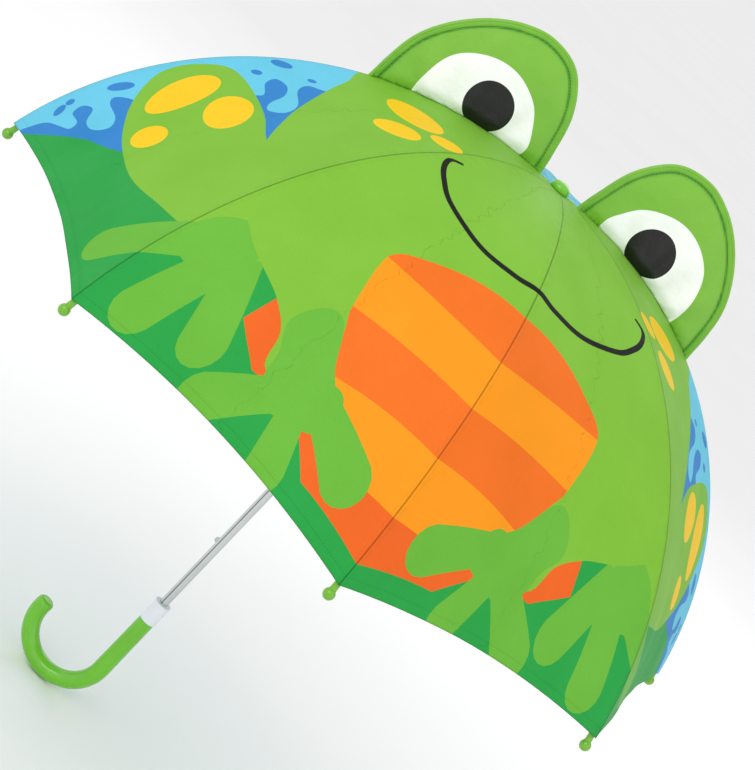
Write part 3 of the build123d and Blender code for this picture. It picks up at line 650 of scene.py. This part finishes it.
def eye_pouch(side, sign):
    """A softly stuffed pouch: a printed front panel and a plain back panel joined by a piped edge."""
    brow = smooth([(EYE_IN, eye_foot(EYE_IN))] + [(x, DOME_TOP + z) for x, z in EYE_OUTLINE]
                  + [(EYE_OUT, eye_foot(EYE_OUT))], closed=False, steps=9)
    foot = np.array([(x, eye_foot(x)) for x in np.linspace(EYE_OUT, EYE_IN, 40)])
    outline = np.concatenate([brow, foot[1:-1]])
    white = smooth([(x, DOME_TOP + z) for x, z in EYE_WHITE], steps=8)
    pupil = ellipse(PUPIL[0], DOME_TOP + PUPIL[1], PUPIL[2], PUPIL[2] * 1.01, 0, 48)
    across = np.stack([np.gradient(brow[:, 1]), -np.gradient(brow[:, 0])], 1)
    across /= np.linalg.norm(across, axis=1)[:, None]
    if not inside(outline, (brow + across * 3)[30:31])[0]:
        across = -across
    fill = [(x + (i % 2) * 1.8, z) for i, z in enumerate(np.arange(DOME_TOP - 60, DOME_TOP + 92, 3.1))
            for x in np.arange(14, 184, 3.6)]
    fill = np.array(fill)
    fill = fill[inside(outline, fill)]
    fill = fill[distance_to(fill, brow) > 9.5]
    rings = [brow + across * gap for gap in (1.6, 3.4, STITCH_IN, 6.6, 8.4)]
    loose = np.concatenate([fill] + [r[inside(outline, r)] for r in rings])
    v, f = triangulate([(outline, True), (white, True), (pupil, True)], loose, 1e-3)
    mid = np.array([v[list(t)].mean(0) for t in f])
    keep = inside(outline, mid)
    f, mid = [t for t, k in zip(f, keep) if k], mid[keep]
    edge = distance_to(v, brow)
    above = v[:, 1] - np.array([eye_foot(x) for x in np.clip(v[:, 0], 20, 174)])
    # full in the middle, pulled in along the stitches, with slack folds that run down to the foot
    puff = 1.1 + 5.4 * np.sin(np.clip((edge - STITCH_IN) / 38, 0, 1) * np.pi / 2) ** 0.9
    puff += 0.7 * np.exp(-((edge - 2.2) / 1.6) ** 2)
    lean = np.arctan2(v[:, 1] - DOME_TOP + 60, v[:, 0] - 96)
    folds = 1.7 * np.sin(lean * 15 + 0.6 * np.sin(v[:, 1] * 0.05)) + 0.45 * np.sin(lean * 27 + 1.4)
    puff += folds * np.clip((edge - STITCH_IN) / 16, 0, 1) * np.exp(-np.clip(above, 0, 99) / 48)
    puff = np.maximum(puff * np.clip(0.42 + above / 12, 0.42, 1.0), 0.5)
    rim = edge < 0.02
    puff[rim] = 0.9
    n = len(v)
    verts = np.concatenate([np.stack([v[:, 0] * sign, -puff, v[:, 1]], 1),
                            np.stack([v[:, 0] * sign, puff * 0.9, v[:, 1]], 1)])
    front = [t if sign > 0 else t[::-1] for t in f]
    count = {(a, b) for t in front for a, b in zip(t, t[1:] + t[:1])}
    wall = [(b, a, a + n, b + n) for a, b in count if (b, a) not in count]
    faces = front + [tuple(i + n for i in t[::-1]) for t in front] + wall
    tone = np.tile(PRINT["eye"], (len(faces), 1))
    tone[:len(front)][inside(white, mid)] = PRINT["white"]
    tone[:len(front)][inside(pupil, mid)] = PRINT["black"]
    # the piping that covers the wire hoop
    turns = np.linspace(0, 2 * np.pi, 11)[:-1]
    path = np.concatenate([brow[:1] - [0, 2.5], brow, brow[-1:] - [0, 2.5]])
    out = np.concatenate([across[:1], across, across[-1:]])
    tube = [[(p[0] + o[0] * PIPING_R * math.cos(t)) * sign, PIPING_R * math.sin(t),
             p[1] + o[1] * PIPING_R * math.cos(t)] for p, o in zip(path, out) for t in turns]
    k = len(turns)
    base = len(verts)
    ring_faces = [(base + i * k + j, base + i * k + (j + 1) % k, base + (i + 1) * k + (j + 1) % k,
                   base + (i + 1) * k + j) for i in range(len(path) - 1) for j in range(k)]
    caps = [tuple(base + j for j in range(k))[::-1], tuple(base + (len(path) - 1) * k + j for j in range(k))]
    verts = np.concatenate([verts, np.array(tube)])
    flat_uv = np.concatenate([v, v + [0.2, 0.1], np.repeat(path, k, 0)]) / 1000
    edge = np.concatenate([edge, edge, np.full(len(tube), 1.4)])
    tone = np.concatenate([tone, np.tile(PRINT["eye"], (len(ring_faces) + 2, 1))])
    mesh = bpy.data.meshes.new("eye_pouch_" + side)
    mesh.from_pydata((verts / 1000).tolist(), [], faces + ring_faces + caps)
    loops = np.array([p.loop_total for p in mesh.polygons])
    mesh.color_attributes.new("print", "FLOAT_COLOR", "CORNER").data.foreach_set("color", np.repeat(
        np.concatenate([tone, np.ones((len(tone), 1))], 1), loops, 0).astype(np.float32).ravel())
    mesh.attributes.new("edge", "FLOAT", "POINT").data.foreach_set("value", edge.astype(np.float32))
    vertex = np.zeros(len(mesh.loops), np.int32)
    mesh.loops.foreach_get("vertex_index", vertex)
    mesh.uv_layers.new(name="cloth").data.foreach_set("uv", flat_uv[vertex].astype(np.float32).ravel())
    bm = bmesh.new()
    bm.from_mesh(mesh)
    bmesh.ops.delete(bm, geom=[w for w in bm.verts if not w.link_faces], context="VERTS")
    bmesh.ops.recalc_face_normals(bm, faces=bm.faces)
    bm.to_mesh(mesh)
    bm.free()
    for p in mesh.polygons:
        p.use_smooth = True
    mesh.materials.append(eye_cloth)
    obj = link(bpy.data.objects.new("eye_pouch_" + side, mesh))
    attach(obj, "rib_" + side)
    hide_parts("eye_" + side)


cloth = canopy_material()
eye_cloth = eye_material()

# ------------------------------------------------------------------ canopy: one cloth cover in two rings of eight
art = artwork()
outlines = []
for _, shape in art:
    for s in (shape if isinstance(shape, tuple) else (shape,)):
        outlines.append((subdivide(s, GRID), True))

REACH = SEAM_LEN + 1
for k in range(16):
    t = k * GORE
    steps = np.arange(CLOTH_IN * 0.4, REACH, GRID)
    ray = np.stack([steps * math.cos(t), steps * math.sin(t)], 1)
    cut = np.array([(CLOTH_IN * 0.3 * math.cos(t), CLOTH_IN * 0.3 * math.sin(t)), *ray[1:],
                    ((REACH + 6) * math.cos(t), (REACH + 6) * math.sin(t))])
    outlines.append((cut, False))
circle = np.linspace(0, 2 * np.pi, CIRCLE_STEPS + 1)[:-1]
hem = hem_arc(fold_angle(circle))
for radius in (np.full(CIRCLE_STEPS, RING), np.full(CIRCLE_STEPS, CLOTH_IN), hem, hem - 5.0, hem + 4):
    outlines.append((np.stack([radius * np.cos(circle), radius * np.sin(circle)], 1), True))
grid = []
for i, y in enumerate(np.arange(-REACH, REACH, GRID * 0.87)):
    for x in np.arange(-REACH, REACH, GRID):
        grid.append((x + (i % 2) * GRID / 2, y))
grid = np.array(grid)
grid = grid[np.hypot(*grid.T) < REACH]
flat, faces = triangulate(outlines, clear_of(grid, outlines, STRAY))

centres = np.array([flat[list(f)].mean(0) for f in faces])
c_a, c_phi = np.hypot(*centres.T), np.arctan2(centres[:, 1], centres[:, 0])
on_cloth = (c_a > CLOTH_IN) & (c_a < hem_arc(fold_angle(c_phi)))
faces = [f for f, k in zip(faces, on_cloth) if k]
centres, c_a, c_phi = centres[on_cloth], c_a[on_cloth], c_phi[on_cloth]
colour = np.tile(PRINT["sky"], (len(faces), 1))
for name, shape in art:
    shapes = shape if isinstance(shape, tuple) else (shape,)
    hit = np.ones(len(faces), bool)
    for s in shapes:
        hit &= inside(s, centres)
    colour[hit] = PRINT[name]

place = dome(flat)
normals = dome_normals(flat)
from_apex = np.hypot(*flat.T)
from_rib = fold_angle(np.arctan2(flat[:, 1], flat[:, 0]))
seam_uv = np.stack([from_apex * np.sin(from_rib), from_apex], 1)
to_hem = hem_arc(from_rib) - from_apex
sector = np.round(np.degrees(c_phi) / 45).astype(int) % 8
outer = c_a > RING
arr_faces = np.array(faces)


def cut_width(arc):
    """Flat width of two half gores, at a length down the seam from the apex."""
    return 2 * (DOME_X + DOME_R * math.sin(T_AXIS + arc / DOME_R)) * math.sin(GORE)


def cut_area(start, end, steps=400):
    """Flat area of two half gores, from their widths and the length down the middle of a gore."""
    step = (end - start) / steps
    total = 0.0
    for k in range(steps):
        arc = start + (k + 0.5) * step
        t = T_AXIS + arc / DOME_R
        total += cut_width(arc) * math.hypot(math.cos(GORE) * math.cos(t), math.sin(t)) * step
    return total


for pos, azimuth in POSITIONS.items():
    here = sector == azimuth // 45
    t = math.radians(azimuth)
    for ring, part, body, share in ((~outer, "canopy_top", "rib_", SHUT_TOP),
                                    (outer, "canopy_skirt", "rib_end_", SHUT_SKIRT)):
        chosen = np.flatnonzero(here & ring)
        fs = [tuple(int(i) for i in arr_faces[j]) for j in chosen]
        used = sorted({i for f in fs for i in f})
        obj = sheet_object(f"{part}_{pos}", flat, fs, place[used], normals[used], colour[chosen], CLOTH_T, cloth,
                           seam_uv, to_hem)
        body_name = body + pos
        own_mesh(obj)
        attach(obj, body_name)
        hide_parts(f"canopy_{pos}")
        # the flat cut comes from the pattern's own sizes, never from the finished mesh
        start, end = (CLOTH_IN, RING) if part == "canopy_top" else (RING, SEAM_LEN)
        area = cut_area(start, end)
        if part == "canopy_skirt":
            area -= cut_width(SEAM_LEN) * HEM_RISE * 2 / 3          # the hem is cut away in a shallow curve

for side, sign in (("left", -1), ("right", 1)):
    eye_pouch(side, sign)

# ------------------------------------------------------------------ materials of the carried-over pieces
# the shaft carries a painted reflection: a dark line along the tube at 235 degrees
chrome = metal("chrome_tube", (0.66, 0.69, 0.68), 0.12, 0.10, 0.08, reflection_line_at=235)
lime = gloss_plastic("lime_handle_plastic", srgb(108, 192, 34), 0.14)
tip_lime = gloss_plastic("lime_tip_plastic", srgb(104, 172, 22), 0.20)
white = satin_plastic("white_collar_plastic", srgb(232, 234, 242), 0.30)
nylon = satin_plastic("white_nylon", srgb(222, 224, 226), 0.48)
rib_metal = metal("zinc_plated_rib", (0.58, 0.60, 0.62), 0.30, 0.30, 0.30)
spring_metal = metal("spring_steel", (0.55, 0.56, 0.58), 0.22, 0.20, 0.10)
wire_metal = metal("galvanised_wire", (0.52, 0.53, 0.55), 0.34, 0.25, 0.35)


def finish_for(name):
    if name == "shaft":
        return chrome
    if name in ("handle", "top_cap"):
        return lime
    if name.startswith("tip_"):
        return tip_lime
    if name == "collar":
        return white
    if name in ("crown", "runner"):
        return nylon
    if name.endswith("_wire") or name.startswith("eye_wire"):
        return wire_metal
    if name.endswith("_spring"):
        return spring_metal
    if name.startswith(("rib_", "stretcher_")):
        return rib_metal
    return None


for name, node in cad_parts.items():
    material = finish_for(name)
    if material is not None:
        node.data.materials.clear()
        node.data.materials.append(material)

# ------------------------------------------------------------------ camera, light and floor
CAMERA_LENS = 104.2831
FLOOR_HALF = 400            # metres, so that the floor's edge is never seen
FLOOR_DROP = 0.0006


def look():
    scene = bpy.context.scene
    cam = bpy.data.cameras.new("camera")
    cam.sensor_fit = "VERTICAL"
    cam.sensor_height = 36.0
    cam.lens = CAMERA_LENS
    cam.clip_end = 500
    obj = link(bpy.data.objects.new("camera", cam))
    right = Vector((0.74145, 0.00800, 0.67096))
    up = Vector((-0.63729, 0.32136, 0.70042))
    back = Vector((-0.21002, -0.94692, 0.24337))
    rot = Matrix((right, up, back)).transposed()
    obj.matrix_world = Matrix.Translation((-0.37995, -1.72655, 0.83773)) @ rot.to_4x4()
    scene.camera = obj
    world = bpy.data.worlds.new("studio")
    scene.world = world
    world.use_nodes = True
    tree = world.node_tree
    toward = tree.nodes.new("ShaderNodeVectorMath")
    toward.operation = "DOT_PRODUCT"
    toward.inputs[1].default_value = (-0.52, -0.62, 0.59)
    tree.links.new(tree.nodes.new("ShaderNodeTexCoord").outputs["Generated"], toward.inputs[0])
    level = tree.nodes.new("ShaderNodeMapRange")
    level.interpolation_type = "SMOOTHSTEP"
    for key, x in (("From Min", -0.9), ("From Max", 0.8), ("To Min", 0.50), ("To Max", 1.02)):
        level.inputs[key].default_value = x
    tree.links.new(toward.outputs["Value"], level.inputs["Value"])
    tree.links.new(level.outputs["Result"], tree.nodes["Background"].inputs[1])
    tree.nodes["Background"].inputs[0].default_value = (1.0, 1.0, 1.0, 1)
    for name, where, size, power in (("key", (-1.3, -1.6, 2.0), 1.6, 17), ("fill", (1.8, -1.4, 1.0), 2.0, 6),
                                     ("rim", (0.6, 1.8, 1.8), 1.6, 9)):
        lamp = bpy.data.lights.new(name, "AREA")
        lamp.size = size
        lamp.energy = power
        o = link(bpy.data.objects.new(name, lamp))
        o.location = where
        o.rotation_euler = (Vector((0, 0, 0.4)) - Vector(where)).to_track_quat("-Z", "Y").to_euler()
    scene.view_settings.view_transform = "Standard"


look()
mesh = bpy.data.meshes.new("floor")
corners = ((-1, -1), (1, -1), (1, 1), (-1, 1))
mesh.from_pydata([(x * FLOOR_HALF, y * FLOOR_HALF, 0) for x, y in corners], [], [(0, 1, 2, 3)])
floor = link(bpy.data.objects.new("floor", mesh))
floor.location.z = -FLOOR_DROP
m = Nodes("floor_paper")
mottle = m.ramp(m.noise(m.add("ShaderNodeTexCoord").outputs["Object"], 1.4, 3.0), 0.3, 0.7)
mesh.materials.append(m.set(color=m.mix(mottle, (0.95, 0.95, 0.95), (0.93, 0.93, 0.93)), rough=0.9, spec=0.1))
